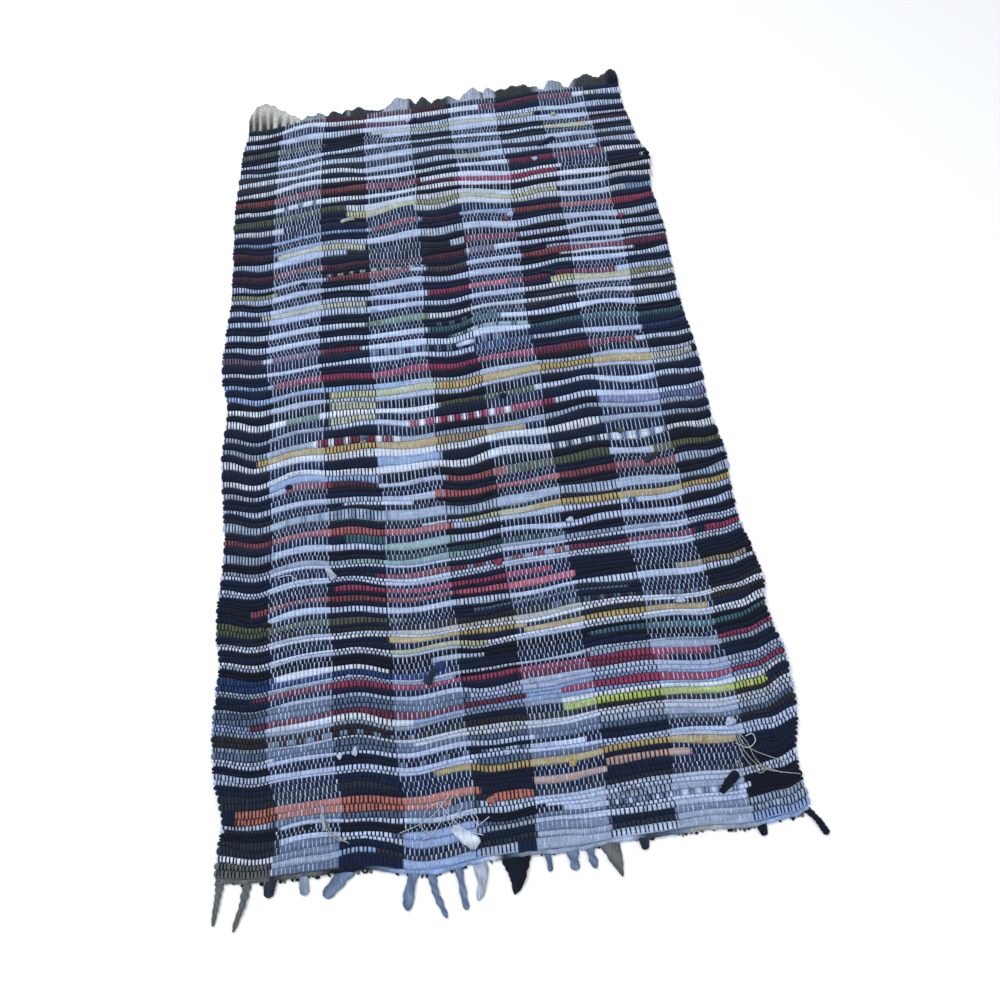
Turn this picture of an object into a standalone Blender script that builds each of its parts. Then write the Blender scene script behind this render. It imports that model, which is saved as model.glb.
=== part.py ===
"""A handwoven rag rug lying flat: the woven field, the gathered heading of its far end,
the folded corner flap beside it, and the loose rag ends of its near end.

Metres, +Z up. X runs across the rug, Y along it towards the gathered end, and the rug
lies on the plane z = 0. Each piece starts as an open underside surface, cut from a plan
outline, and Solidify gives it the cloth's thickness upwards.
"""
import math

import bpy
from mathutils import Vector
from mathutils.geometry import delaunay_2d_cdt

# The weave, in metres
PICKS = 104                  # rows of rag across the rug
NEAR_Y = -0.7175             # near end of the weave
FIELD_THICK = 0.0072
SELVEDGE_BULGE = 0.0030      # how far each strip's turn stands out at the sides
GAP = 0.0004                 # clearance between pieces that meet
FIELD_GRID = 0.040           # spacing of the field's inner points
GRID_MARGIN = 0.55           # inner points keep this share of their spacing from an outline
END_STEP = 0.010             # spacing of points along the two woven ends
STEP_MARGIN = 0.05           # a step this share of itself from a run's end is left out
SHARP_ANGLE = 35             # degrees

# The gathered heading, the corner flap and the loose ends
HEADING_THICK = 0.0035
FLAT_HEM = 0.0025            # flat strip beside the weave on the heading and the flap
HEADING_BAND = 0.008         # width of the heading between its lobes
HEADING_FOLD = 0.027         # from one gather to the next
HEADING_FOLD_RISE = 0.0050
HEADING_LOBE_RISE = 0.0060
LOBE_RIDGE = 0.62            # where a lobe's inner points lie, as a share of its reach
LOBE_LEAST = 1.8             # a lobe that reaches this many bands or more has inner points
HEADING_START = -0.284
HEADING_END = 0.3915
FLAP_THICK = 0.0030
FLAP_RISE = 0.0110
FLAP_REACH = 0.030           # from the hem to where its folds stand full height
FLAP_FOLDS = 4               # folds in a quarter turn about the focus
FLAP_VALLEY = 0.35           # height of the valleys between them, as a share of FLAP_RISE
FLAP_GRID = 0.011
FRINGE_THICK = 0.0032
FRINGE_BAND = 0.0055         # width of the turned edge that the loose ends grow from
TAIL_STEPS = 5
TAIL_POINT = 0.4             # how far a tip stands out, in tip widths

# Side outlines: share of the length from the near end, distance from the centre line
LEFT_SIDE = (
    (0.00, -0.391), (0.05, -0.384), (0.09, -0.399), (0.13, -0.404), (0.20, -0.398),
    (0.24, -0.405), (0.33, -0.399), (0.45, -0.409), (0.51, -0.404), (0.57, -0.415),
    (0.70, -0.407), (0.84, -0.408), (0.94, -0.400), (1.00, -0.389),
)
RIGHT_SIDE = (
    (0.00, 0.400), (0.03, 0.398), (0.10, 0.417), (0.14, 0.419), (0.185, 0.409),
    (0.22, 0.418), (0.30, 0.405), (0.38, 0.411), (0.43, 0.404), (0.51, 0.409),
    (0.60, 0.402), (0.72, 0.408), (0.79, 0.402), (0.85, 0.414), (0.90, 0.398),
    (0.97, 0.389), (1.00, 0.391),
)
# End outlines: distance from the centre line, distance from NEAR_Y
NEAR_END = (
    (-0.420, -0.004), (-0.340, -0.013), (-0.210, -0.012), (-0.110, -0.026),
    (-0.030, -0.018), (0.080, -0.018), (0.150, -0.013), (0.260, -0.011),
    (0.310, -0.014), (0.370, -0.008), (0.420, 0.008),
)
FAR_END = (
    (-0.420, 1.400), (-0.380, 1.405), (-0.240, 1.429), (-0.060, 1.439),
    (0.120, 1.456), (0.230, 1.466), (0.420, 1.474),
)
# Low rises of the lying cloth: x, y from NEAR_Y, half size across, half size along, height
RISES = (
    (0.000, 1.130, 0.150, 0.110, 0.0050),
    (-0.405, 0.830, 0.110, 0.120, 0.0060),
    (0.405, 1.215, 0.100, 0.080, 0.0050),
    (0.420, 0.230, 0.120, 0.150, 0.0060),
    (-0.380, 0.110, 0.110, 0.075, 0.0040),
    (-0.100, 0.520, 0.140, 0.070, 0.0040),
    (0.240, 0.680, 0.120, 0.080, 0.0035),
)
# Lobes of the gathered heading: x, half width, reach beyond the weave
LOBES = (
    (-0.250, 0.024, 0.008), (-0.212, 0.015, 0.011), (-0.170, 0.030, 0.014),
    (-0.074, 0.032, 0.030), (-0.028, 0.020, 0.023), (0.018, 0.028, 0.016),
    (0.078, 0.026, 0.028), (0.114, 0.018, 0.025), (0.168, 0.052, 0.022),
    (0.251, 0.020, 0.025), (0.322, 0.036, 0.032), (0.384, 0.040, 0.040),
)
# Corner flap's free outline: x, distance beyond the far end
FLAP_OUTLINE = (
    (-0.3885, 0.000), (-0.3888, FLAT_HEM), (-0.388, 0.028), (-0.382, 0.050), (-0.369, 0.069),
    (-0.355, 0.074), (-0.338, 0.062), (-0.319, 0.041), (-0.295, 0.020),
    (HEADING_START - GAP, FLAT_HEM),
)
FLAP_FOCUS = (-0.386, 1.394)  # where its folds come together: x, distance from NEAR_Y
# Loose rag ends: x of the root, sideways lean, length, root width, tip width, bow
TAILS = (
    (-0.386, -0.006, 0.055, 0.011, 0.005, 0.002),
    (-0.349, -0.018, 0.059, 0.012, 0.005, 0.003),
    (-0.317, -0.006, 0.024, 0.015, 0.010, 0.000),
    (-0.277, 0.001, 0.026, 0.013, 0.011, 0.000),
    (-0.213, -0.037, 0.031, 0.017, 0.013, 0.000),
    (-0.133, -0.013, 0.046, 0.013, 0.012, -0.001),
    (-0.112, 0.016, 0.058, 0.011, 0.006, -0.003),
    (-0.078, 0.008, 0.054, 0.009, 0.008, 0.001),
    (-0.051, -0.003, 0.049, 0.021, 0.006, 0.006),
    (-0.002, -0.004, 0.048, 0.040, 0.006, 0.004),
    (0.041, 0.002, 0.026, 0.009, 0.006, 0.000),
    (0.071, 0.003, 0.028, 0.015, 0.010, 0.003),
    (0.097, 0.004, 0.029, 0.012, 0.008, 0.000),
    (0.122, 0.012, 0.045, 0.026, 0.005, 0.002),
    (0.170, 0.001, 0.018, 0.017, 0.011, 0.000),
    (0.329, 0.002, 0.018, 0.013, 0.009, 0.000),
    (0.391, 0.023, 0.036, 0.008, 0.009, 0.003),
)


def clear_scene():
    for thing in list(bpy.data.objects):
        bpy.data.objects.remove(thing, do_unlink=True)


def along(table, where):
    """The second column of a two-column table at a value of the first, eased between rows."""
    if where <= table[0][0]:
        return table[0][1]
    for (low, start), (high, end) in zip(table, table[1:]):
        if where <= high:
            share = (where - low) / (high - low)
            return start + (end - start) * (1 - math.cos(math.pi * share)) / 2
    return table[-1][1]


def dome(share):
    """1 at the middle and 0, with no slope, from the rim outwards."""
    return max(0.0, 1 - share * share) ** 2


def straight_steps(table, x):
    """The table's curve as straight runs END_STEP long, so that pieces meet along it."""
    number = math.floor(x / END_STEP)
    share = x / END_STEP - number
    start = along(table, number * END_STEP)
    end = along(table, (number + 1) * END_STEP)
    return start + (end - start) * share


def near_y(x):
    return NEAR_Y + straight_steps(NEAR_END, x)


def far_y(x):
    return NEAR_Y + straight_steps(FAR_END, x)


def field_rise(x, y):
    """Height of the field's underside above the surface that it lies on."""
    height = 0.0
    for middle_x, middle_y, half_x, half_y, peak in RISES:
        across = (x - middle_x) / half_x
        lengthwise = (y - NEAR_Y - middle_y) / half_y
        height += peak * dome(math.hypot(across, lengthwise))
    return height


def side_x(table, step):
    """X of a side at a half pick, standing out at the middle of each strip."""
    bulge = SELVEDGE_BULGE * (step % 2)
    x = along(table, step / (2 * PICKS))
    return x + math.copysign(bulge, x)


def side_points(table):
    points = []
    for step in range(2 * PICKS + 1):
        x = side_x(table, step)
        share = step / (2 * PICKS)
        y = near_y(x) * (1 - share) + far_y(x) * share
        points.append((x, y))
    return points


def steps_between(start, end):
    """The multiples of END_STEP between two places, without the places themselves."""
    first = math.floor(start / END_STEP + STEP_MARGIN) + 1
    last = math.ceil(end / END_STEP - STEP_MARGIN) - 1
    return [number * END_STEP for number in range(first, last + 1)]


def end_points(height, start, end):
    return [(x, height(x)) for x in steps_between(start, end)]


def field_outline():
    left = side_points(LEFT_SIDE)
    right = side_points(RIGHT_SIDE)
    near = end_points(near_y, left[0][0], right[0][0])
    far = end_points(far_y, left[-1][0], right[-1][0])
    return near + right + far[::-1] + left[::-1]


def inside(point, outline):
    x, y = point
    found = False
    for (x1, y1), (x2, y2) in zip(outline, outline[1:] + outline[:1]):
        if (y1 > y) != (y2 > y) and x < x1 + (x2 - x1) * (y - y1) / (y2 - y1):
            found = not found
    return found


def grid_within(outline, spacing, margin):
    """Grid points inside an outline and at least a margin from its corners."""
    xs = [x for x, _ in outline]
    ys = [y for _, y in outline]
    columns = int((max(xs) - min(xs)) / spacing)
    rows = int((max(ys) - min(ys)) / spacing)
    points = []
    for row in range(1, rows + 1):
        for column in range(1, columns + 1):
            point = (min(xs) + spacing * column, min(ys) + spacing * row)
            clear = min(math.dist(point, corner) for corner in outline) > margin
            if clear and inside(point, outline):
                points.append(point)
    return points


def cloth_piece(name, outline, inner, rise, thickness, collection, material):
    """A closed piece: the plan outline and inner points, raised, then thickened upwards."""
    plan = [Vector(point) for point in outline + inner]
    ring = list(range(len(outline)))
    points, _, faces, _, _, _ = delaunay_2d_cdt(plan, [], [ring], 1, 1e-6)
    mesh = bpy.data.meshes.new(name)
    mesh.from_pydata([(x, y, rise(x, y)) for x, y in points], [], faces)
    mesh.materials.append(material)
    piece = bpy.data.objects.new(name, mesh)
    collection.objects.link(piece)
    thick = piece.modifiers.new("thickness", "SOLIDIFY")
    thick.thickness = thickness
    thick.offset = 1.0
    mesh.shade_smooth()
    mesh.set_sharp_from_angle(angle=math.radians(SHARP_ANGLE))
    return piece


def lobe_reach(x):
    """How far the heading reaches beyond the weave."""
    lobes = [reach * dome((x - middle) / half) ** 0.5 for middle, half, reach in LOBES]
    return HEADING_BAND + max(lobes) * (1 - HEADING_BAND / max(r for _, _, r in LOBES))


def beyond_hem(x, y, reach):
    """0 on the flat hem beside the weave, rising to 1 at a reach beyond it."""
    return min(1.0, max(0.0, (y - far_y(x) - FLAT_HEM) / reach))


def heading_rise(x, y):
    """Gathers that rise away from the weave and stand highest on the lobes."""
    out = beyond_hem(x, y, HEADING_BAND)
    gather = (1 - math.cos(2 * math.pi * (x - HEADING_START) / HEADING_FOLD)) / 2
    lobe = (lobe_reach(x) - HEADING_BAND) / max(r for _, _, r in LOBES)
    return out * (HEADING_FOLD_RISE * gather + HEADING_LOBE_RISE * lobe)


def build_heading(collection, material):
    places = [HEADING_START] + steps_between(HEADING_START, HEADING_END) + [HEADING_END]
    inner_edge = [(x, far_y(x) + GAP) for x in places]
    outer_edge = [(x, far_y(x) + lobe_reach(x)) for x in places]
    middle = []
    for x in places[1:-1]:
        reach = lobe_reach(x)
        middle.append((x, far_y(x) + FLAT_HEM))
        if reach > HEADING_BAND * LOBE_LEAST:
            middle.append((x, far_y(x) + reach * LOBE_RIDGE))
    outline = inner_edge + outer_edge[::-1]
    return cloth_piece("far_heading", outline, middle, heading_rise, HEADING_THICK,
                       collection, material)


def flap_rise(x, y):
    """Radial folds that come together at the corner of the weave."""
    focus_x, focus_y = FLAP_FOCUS
    away_x = x - focus_x
    away_y = y - NEAR_Y - focus_y
    turn = math.atan2(away_y, away_x)
    fold = (1 - math.cos(4 * FLAP_FOLDS * turn)) / 2
    return FLAP_RISE * beyond_hem(x, y, FLAP_REACH) * (FLAP_VALLEY + (1 - FLAP_VALLEY) * fold)


def build_flap(collection, material):
    free = [(x, far_y(x) + GAP + up) for x, up in FLAP_OUTLINE]
    end_x = HEADING_START - GAP
    base = [(end_x, far_y(end_x) + GAP)]
    base += [(x, y + GAP) for x, y in end_points(far_y, FLAP_OUTLINE[0][0], end_x)[::-1]]
    outline = (free + base)[::-1]
    hem = [(x, far_y(x) + FLAT_HEM) for x, _ in base[1:]]
    inner = hem + grid_within(outline + hem, FLAP_GRID, FLAP_GRID * GRID_MARGIN)
    return cloth_piece("corner_flap", outline, inner, flap_rise, FLAP_THICK,
                       collection, material)


def tail_outline(root_x, lean, length, root_width, tip_width, bow):
    """One loose end's outline, down its left side, round its tip and up its right side."""
    root_y = band_y(root_x)

    def centre(share):
        sideways = lean * share + 4 * bow * share * (1 - share)
        return Vector((root_x + sideways, root_y - (length - FRINGE_BAND) * share))

    left = []
    right = []
    for number in range(TAIL_STEPS + 1):
        share = number / TAIL_STEPS
        ahead = centre(share + 0.01) - centre(share - 0.01)
        across = Vector((-ahead.y, ahead.x)).normalized()
        if number == 0:
            across = Vector((1.0, 0.0))
        half = (root_width + (tip_width - root_width) * share) / 2
        left.append(tuple(centre(share) - across * half))
        right.append(tuple(centre(share) + across * half))
    tip = centre(1.0) + (centre(1.0) - centre(0.98)).normalized() * tip_width * TAIL_POINT
    return left + [tuple(tip)] + right[::-1]


def band_y(x):
    """The outer line of the turned near edge."""
    return near_y(x) - FRINGE_BAND


def build_fringe(collection, material):
    """The turned near edge with every loose rag end, as one comb."""
    start = LEFT_SIDE[0][1]
    end = RIGHT_SIDE[0][1] - GAP
    lower = [(start, band_y(start))]
    for row in TAILS:
        tail = tail_outline(*row)
        lower += end_points(band_y, lower[-1][0], tail[0][0])
        lower += tail
    lower += end_points(band_y, lower[-1][0], end)
    lower.append((end, band_y(end)))
    upper = [(start, near_y(start) - GAP)]
    upper += [(x, y - GAP) for x, y in end_points(near_y, start, end)]
    upper.append((end, near_y(end) - GAP))
    return cloth_piece("near_fringe", lower + upper[::-1], [], lambda x, y: 0.0,
                       FRINGE_THICK, collection, material)


def build_field(collection, material):
    outline = field_outline()
    inner = grid_within(outline, FIELD_GRID, FIELD_GRID * GRID_MARGIN)
    return cloth_piece("woven_field", outline, inner, field_rise, FIELD_THICK,
                       collection, material)


def fabric(name, colour, roughness):
    material = bpy.data.materials.new(name)
    material.use_nodes = True
    shader = material.node_tree.nodes["Principled BSDF"]
    shader.inputs["Base Color"].default_value = (*colour, 1.0)
    shader.inputs["Roughness"].default_value = roughness
    shader.inputs["Metallic"].default_value = 0.0
    return material


def centre_on_origin(pieces):
    """Moves every piece's points so that the whole rug's plan box is centred on the origin."""
    bpy.context.view_layer.update()
    corners = [piece.matrix_world @ Vector(corner) for piece in pieces for corner in piece.bound_box]
    middle_x = (min(c.x for c in corners) + max(c.x for c in corners)) / 2
    middle_y = (min(c.y for c in corners) + max(c.y for c in corners)) / 2
    for piece in pieces:
        for vertex in piece.data.vertices:
            vertex.co.x -= middle_x
            vertex.co.y -= middle_y


def main():
    clear_scene()
    collection = bpy.data.collections.new("rag_rug")
    bpy.context.scene.collection.children.link(collection)
    pieces = [
        build_field(collection, fabric("woven_rags", (0.16, 0.19, 0.27), 0.95)),
        build_heading(collection, fabric("gathered_knit", (0.11, 0.11, 0.12), 0.95)),
        build_flap(collection, fabric("folded_knit", (0.36, 0.34, 0.32), 0.95)),
        build_fringe(collection, fabric("rag_ends", (0.30, 0.34, 0.42), 0.95)),
    ]
    centre_on_origin(pieces)


main()
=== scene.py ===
"""The looks of the rag rug: every rag strip and warp thread of the weave, the gathered far
heading, the folded corner flap, the loose rag ends of the near edge, knots and stray threads.

X runs across the rug, Y along it from the near end to the gathered far end, Z up; metres.
The weave has ROWS rows of rag, dark and light mostly in turn, and a row holds one strip or
two of the same shade. ENDS warp threads cross them one over and one under, in nine bands
that are dark and light in turn.
"""
import math
import bpy
import numpy as np
from mathutils import Matrix, Vector


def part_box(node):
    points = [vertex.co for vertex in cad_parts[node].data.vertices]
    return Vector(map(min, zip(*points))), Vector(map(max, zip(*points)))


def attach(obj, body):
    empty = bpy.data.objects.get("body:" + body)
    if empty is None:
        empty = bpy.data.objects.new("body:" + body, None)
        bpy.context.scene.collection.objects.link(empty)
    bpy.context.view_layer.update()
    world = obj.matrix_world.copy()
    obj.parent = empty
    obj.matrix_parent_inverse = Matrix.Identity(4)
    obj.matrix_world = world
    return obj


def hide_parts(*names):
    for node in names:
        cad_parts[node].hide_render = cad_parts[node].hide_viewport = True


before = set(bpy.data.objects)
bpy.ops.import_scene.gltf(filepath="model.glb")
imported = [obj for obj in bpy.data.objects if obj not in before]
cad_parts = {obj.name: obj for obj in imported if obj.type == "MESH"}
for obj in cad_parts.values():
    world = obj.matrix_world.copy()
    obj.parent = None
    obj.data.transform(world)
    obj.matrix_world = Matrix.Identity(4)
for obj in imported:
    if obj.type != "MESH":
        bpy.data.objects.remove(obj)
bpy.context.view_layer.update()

# ---- the weave's sizes
ROWS = 104  # counted from the near end
FIRST_ROWS = "DDLDLDDDLDLLDLLLDLDDLDLDDDDDLDL"  # shades of the first rows; later ones take turns
DOUBLED_NEAR = 30  # rows from the near end that hold two strips each
DOUBLED_FAR = 14  # how many of the other dark rows do
BAND_ENDS = 30  # warp threads in each band
THICK = 0.0072  # the cloth, warp included
RAG_FULL = 0.0033  # half height of a rag between warps
RAG_PINCHED = 0.0021  # half height of a rag under a warp
WARP_HIGH = 0.0030  # height of a warp's middle above the weave's middle plane
WARP_WIDE = {True: 0.0019, False: 0.0015}  # dark thread, white thread
WARP_THICK = 0.0011
WARP_WIDTHS = (0.60, 1.30)  # a thread's width along its way, against the usual
WARP_JITTER = 0.0003
CREST = 0.70  # a warp stays high over this share of a rag's half width
SELVEDGE_BULGE = 0.0030
EDGE_MARGIN = 0.0015  # from the side outline to the first warp thread
END_SWAY = 0.0007  # how far a warp thread strays sideways
LEAST_HALF = 0.0016  # half width of the narrowest strip
DOUBLED_SHARE = 0.50  # room for a strip of a double row, against a single one
RAG_SIDES = 6
ZONES = ("near", "middle", "far")
BANDS = (0.0, 0.090, 0.201, 0.308, 0.429, 0.534, 0.657, 0.775, 0.901, 1.0)  # shares of the width

# Side outlines: share of the length from the near end, distance from the centre line
LEFT_SIDE = (
    (0, -0.391), (0.05, -0.384), (0.09, -0.399), (0.13, -0.404), (0.2, -0.398), (0.24, -0.405),
    (0.33, -0.399), (0.45, -0.409), (0.51, -0.404), (0.57, -0.415), (0.7, -0.407), (0.84, -0.408),
    (0.94, -0.4), (1, -0.389),
)
RIGHT_SIDE = (
    (0, 0.4), (0.03, 0.398), (0.1, 0.417), (0.14, 0.419), (0.185, 0.409), (0.22, 0.418),
    (0.3, 0.405), (0.38, 0.411), (0.43, 0.404), (0.51, 0.409), (0.6, 0.402), (0.72, 0.408),
    (0.79, 0.402), (0.85, 0.414), (0.9, 0.398), (0.97, 0.389), (1, 0.391),
)
# End outlines: distance from the centre line, distance from the near end's own line
NEAR_END = (
    (-0.42, -0.004), (-0.34, -0.013), (-0.21, -0.012), (-0.11, -0.026), (-0.03, -0.018),
    (0.08, -0.018), (0.15, -0.013), (0.26, -0.011), (0.31, -0.014), (0.37, -0.008), (0.42, 0.008),
)
FAR_END = (
    (-0.42, 1.4), (-0.38, 1.405), (-0.24, 1.429), (-0.06, 1.439), (0.12, 1.456), (0.23, 1.466),
    (0.42, 1.474),
)
# Low rises of the lying cloth: x, distance from the near line, half sizes, height
RISES = (
    (0, 1.13, 0.15, 0.11, 0.005), (-0.405, 0.83, 0.11, 0.12, 0.006),
    (0.405, 1.215, 0.1, 0.08, 0.005), (0.42, 0.23, 0.12, 0.15, 0.006),
    (-0.38, 0.11, 0.11, 0.075, 0.004), (-0.1, 0.52, 0.14, 0.07, 0.004),
    (0.24, 0.68, 0.12, 0.08, 0.0035),
)

# ---- colours, as seen, in sRGB; they hold painted shade, cooler and darker than the cloth's own
PALETTE = {
    "navy": (15, 30, 62), "ink": (9, 19, 38), "charcoal": (36, 46, 63), "bark": (42, 42, 48),
    "sea_dark": (20, 40, 56), "white": (182, 199, 232), "snow": (205, 217, 238),
    "sky": (137, 164, 211), "mist": (147, 165, 194), "slate": (86, 106, 138),
    "sand": (170, 174, 172), "lavender": (168, 184, 220), "maroon": (73, 43, 58),
    "wine": (106, 50, 74), "red": (122, 67, 78), "crimson": (140, 58, 90),
    "pink_red": (170, 84, 110), "coral": (150, 86, 93), "orange": (172, 108, 98),
    "peach": (177, 150, 146), "brown": (82, 73, 75), "mauve": (103, 92, 119), "olive": (73, 84, 70),
    "moss": (87, 95, 70), "grey_green": (89, 102, 101), "cream": (175, 181, 171),
    "pale_yellow": (174, 179, 148), "gold": (172, 154, 106), "tan": (147, 135, 117),
    "lime": (168, 188, 100), "mint": (136, 170, 177), "green": (99, 134, 120),
    "teal": (58, 96, 111), "dark_teal": (41, 68, 80), "blue": (40, 59, 105), "royal": (35, 61, 117),
    "periwinkle": (108, 117, 165), "cream_olive": (135, 141, 117),
    "ash": (100, 104, 106), "steel": (108, 128, 161), "veil": (137, 152, 166),
    "pale_knit": (170, 182, 203), "lichen": (56, 64, 70), "flap_cloth": (180, 182, 176),
}
DARKS = (("navy", 0.50), ("ink", 0.31), ("charcoal", 0.11), ("sea_dark", 0.05), ("bark", 0.03))
LIGHTS_FAR = (("white", 0.50), ("snow", 0.14), ("lavender", 0.12), ("sky", 0.06),
              ("mist", 0.15), ("sand", 0.03))
LIGHTS_NEAR = (("white", 0.36), ("snow", 0.08), ("lavender", 0.12), ("sky", 0.16),
               ("mist", 0.18), ("slate", 0.10))

# How strips are drawn. Sizes and tones are against the usual ones
STRIP_ENDS = (70, 560)  # warp threads that a strip reaches across
DARK_SIZES = (0.88, 1.40)
LIGHT_SIZES = (0.62, 1.12)
STRIP_TONES = (0.78, 1.14)
FAR_LIGHTS_FROM = 50  # LIGHTS_FAR is for the rows past this one
CHANGES = 18  # short lengths of the other shade
CHANGE_MARGIN = 4  # strips at either end without one
CHANGE_START = (0, 0.8)  # as shares of the width
CHANGE_WIDTH = (0.08, 0.34)
CHANGE_SIZES = (0.6, 1.0)
COLOURED_TONES = (0.92, 1.08)
COLOURED_SIZES = (0.85, 1.05)
COLOURED_PAIRED = (1.25, 1.60)  # sizes in a row that holds two strips
TWIST_ENDS = 3  # warp threads that a twist reaches across

# Coloured rags: row, start and end in hundredths of the width, colour. A row and a half
# means the second strip of a row that holds two.
ACCENTS = (
    (103, 15, 52, "maroon"), (102, 61, 87, "wine"), (101, 25, 44, "maroon"), (99, 33, 76, "cream"),
    (98, 0, 10, "grey_green"), (98, 10, 21, "olive"), (97, 88, 100, "maroon"),
    (96, 77, 89, "pale_yellow"), (92, 53, 60, "sand"), (90, 66, 90, "wine"), (88, 0, 30, "red"),
    (88, 30, 44, "wine"), (87, 44, 52, "maroon"), (87, 52, 77, "crimson"), (84, 0, 26, "olive"),
    (83, 26, 43, "pale_yellow"), (83, 43, 53, "cream_olive"), (83, 53, 77, "pale_yellow"),
    (80, 32, 43, "red"), (80, 44, 53, "maroon"), (80, 66, 77, "red"), (80, 77, 90, "coral"),
    (80, 90, 100, "crimson"), (78, 0, 9, "maroon"), (77, 10, 30, "cream"), (76, 53, 66, "wine"),
    (74, 0, 9, "maroon"), (74, 9, 21, "red"), (74, 21, 53, "maroon"), (74, 54, 60, "mauve"),
    (72, 21, 40, "red"), (72, 44, 53, "brown"), (72, 66, 77, "red"), (72, 77, 100, "wine"),
    (71, 0, 10, "cream_olive"), (68, 44, 53, "crimson"), (68, 53, 62, "pink_red"),
    (68, 62, 87, "wine"), (67, 7, 30, "cream"), (67, 72, 90, "pale_yellow"),
    (67, 90, 100, "cream_olive"), (64, 30, 44, "green"), (62, 44, 60, "teal"), (61, 48, 66, "mint"),
    (60, 66, 100, "teal"), (60, 0, 8, "mauve"), (60, 10, 21, "mauve"), (60, 21, 29, "wine"),
    (58, 53, 66, "blue"), (58, 90, 100, "blue"), (56, 10, 66, "crimson"), (56, 66, 88, "wine"),
    (53, 21, 44, "pale_yellow"), (53, 44, 90, "gold"), (51, 21, 31, "cream"), (50, 12, 19, "green"),
    (50, 44, 64, "olive"), (49, 21, 31, "cream"), (48, 37, 68, "crimson"),
    (47, 77, 100, "periwinkle"), (46, 18, 36, "wine"), (45, 7, 44, "gold"), (45, 44, 53, "tan"),
    (45, 53, 61, "gold"), (43, 31, 44, "sky"), (41, 9, 31, "sky"), (40, 12, 21, "red"),
    (40, 21, 30, "maroon"), (40, 44, 56, "coral"), (40, 56, 77, "olive"), (40, 86, 100, "moss"),
    (38, 41, 66, "coral"), (38, 66, 90, "red"), (35, 46, 60, "pale_yellow"), (35, 60, 100, "gold"),
    (34, 0, 10, "red"), (34, 10, 44, "coral"), (34, 79, 81, "royal"), (33, 23, 31, "teal"),
    (32, 31, 44, "mint"), (31, 31, 66, "dark_teal"), (30.5, 23, 46, "mint"), (29, 29, 66, "red"),
    (29, 66, 91, "wine"), (29, 93, 100, "crimson"), (27, 21, 62, "crimson"), (26, 6, 44, "red"),
    (26, 44, 66, "pink_red"), (25.5, 85, 99, "tan"), (25, 9, 100, "white"), (24, 0, 34, "olive"),
    (24.5, 0, 10, "moss"), (22.5, 33, 66, "sand"), (21.5, 30, 55, "gold"), (21, 55, 89, "gold"),
    (20.5, 30, 48, "pale_yellow"), (19, 67, 100, "teal"), (18, 0, 41, "royal"),
    (18.5, 0, 10, "royal"), (18.5, 10, 30, "snow"), (17, 66, 100, "mist"),
    (17.5, 90, 100, "crimson"), (16.5, 6, 20, "wine"), (16.5, 20, 88, "crimson"),
    (16, 53, 80, "wine"), (15, 0, 44, "slate"), (14.5, 0, 44, "slate"), (14, 60, 100, "crimson"),
    (14, 6, 54, "wine"), (13.5, 9, 34, "snow"), (13, 60, 100, "snow"), (12.5, 60, 96, "lime"),
    (11, 0, 34, "slate"), (10.5, 66, 100, "mist"), (8, 44, 66, "slate"), (7.5, 37, 89, "gold"),
    (6, 0, 12, "charcoal"), (6, 53, 66, "peach"), (6.5, 0, 30, "charcoal"), (6.5, 66, 81, "peach"),
    (5, 2, 39, "orange"), (5.5, 2, 44, "orange"), (5, 46, 53, "orange"), (4.5, 8, 44, "slate"),
    (3.5, 66, 90, "mist"), (2.5, 0, 10, "charcoal"), (2.5, 31, 44, "sky"), (2.5, 90, 100, "ink"),
    (2, 0, 10, "charcoal"), (2, 10, 20, "slate"), (2, 31, 44, "sky"), (2, 44, 53, "mist"),
    (2, 90, 100, "ink"), (1.5, 0, 9, "snow"), (1.5, 9, 20, "steel"), (1.5, 53, 66, "steel"),
    (1.5, 77, 90, "steel"), (1.5, 90, 100, "mist"), (1, 0, 9, "ash"), (1, 9, 20, "mist"),
    (1, 20, 26, "sky"), (1, 53, 66, "mist"), (1, 77, 100, "mist"), (0, 0, 9, "ash"),
    (0, 9, 20, "slate"), (0, 31, 44, "sky"), (0, 44, 50, "mist"), (0, 53, 66, "mist"),
    (0, 66, 77, "white"), (0, 77, 90, "mist"), (0, 90, 100, "sky"),
)
# Rags that twist and show another colour: row, start, end, that colour, warp threads from
# one twist to the next
SPOTTED = (
    (86, 10, 21, "slate", 9), (73, 21, 44, "sand", 7), (63, 44, 66, "slate", 8),
    (61, 48, 66, "teal", 9), (59, 30, 60, "slate", 7), (48, 37, 60, "snow", 8),
    (47, 10, 44, "navy", 6), (46, 18, 36, "snow", 9), (42, 66, 90, "slate", 7),
    (36, 10, 34, "steel", 9), (29, 44, 66, "mist", 10), (23, 60, 88, "slate", 7),
    (12, 9, 34, "steel", 8), (9, 31, 53, "slate", 9), (3, 66, 90, "slate", 6),
)


def srgb(name):
    """A palette colour in the linear values that shaders take."""
    seen = np.array(PALETTE[name]) / 255
    return np.where(seen <= 0.04045, seen / 12.92, ((seen + 0.055) / 1.055) ** 2.4)


# ---- the lying cloth
def along(table, where):
    """The second column of a table at values of the first, eased between rows."""
    marks = np.array([row[0] for row in table])
    values = np.array([row[1] for row in table])
    where = np.clip(np.asarray(where, float), marks[0], marks[-1])
    row = np.clip(np.searchsorted(marks, where, side="right") - 1, 0, len(marks) - 2)
    share = (where - marks[row]) / (marks[row + 1] - marks[row])
    eased = (1 - np.cos(np.pi * share)) / 2
    return values[row] + (values[row + 1] - values[row]) * eased


field_low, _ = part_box("woven_field")
half_rows = np.arange(2 * ROWS + 1)
left_reach = along(LEFT_SIDE, half_rows / (2 * ROWS)) - SELVEDGE_BULGE * (half_rows % 2)
SHIFT_X = field_low.x - left_reach.min()
NEAR_Y = field_low.y - min(row[1] for row in NEAR_END)


def near_y(x):
    return NEAR_Y + along(NEAR_END, x - SHIFT_X)


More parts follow.
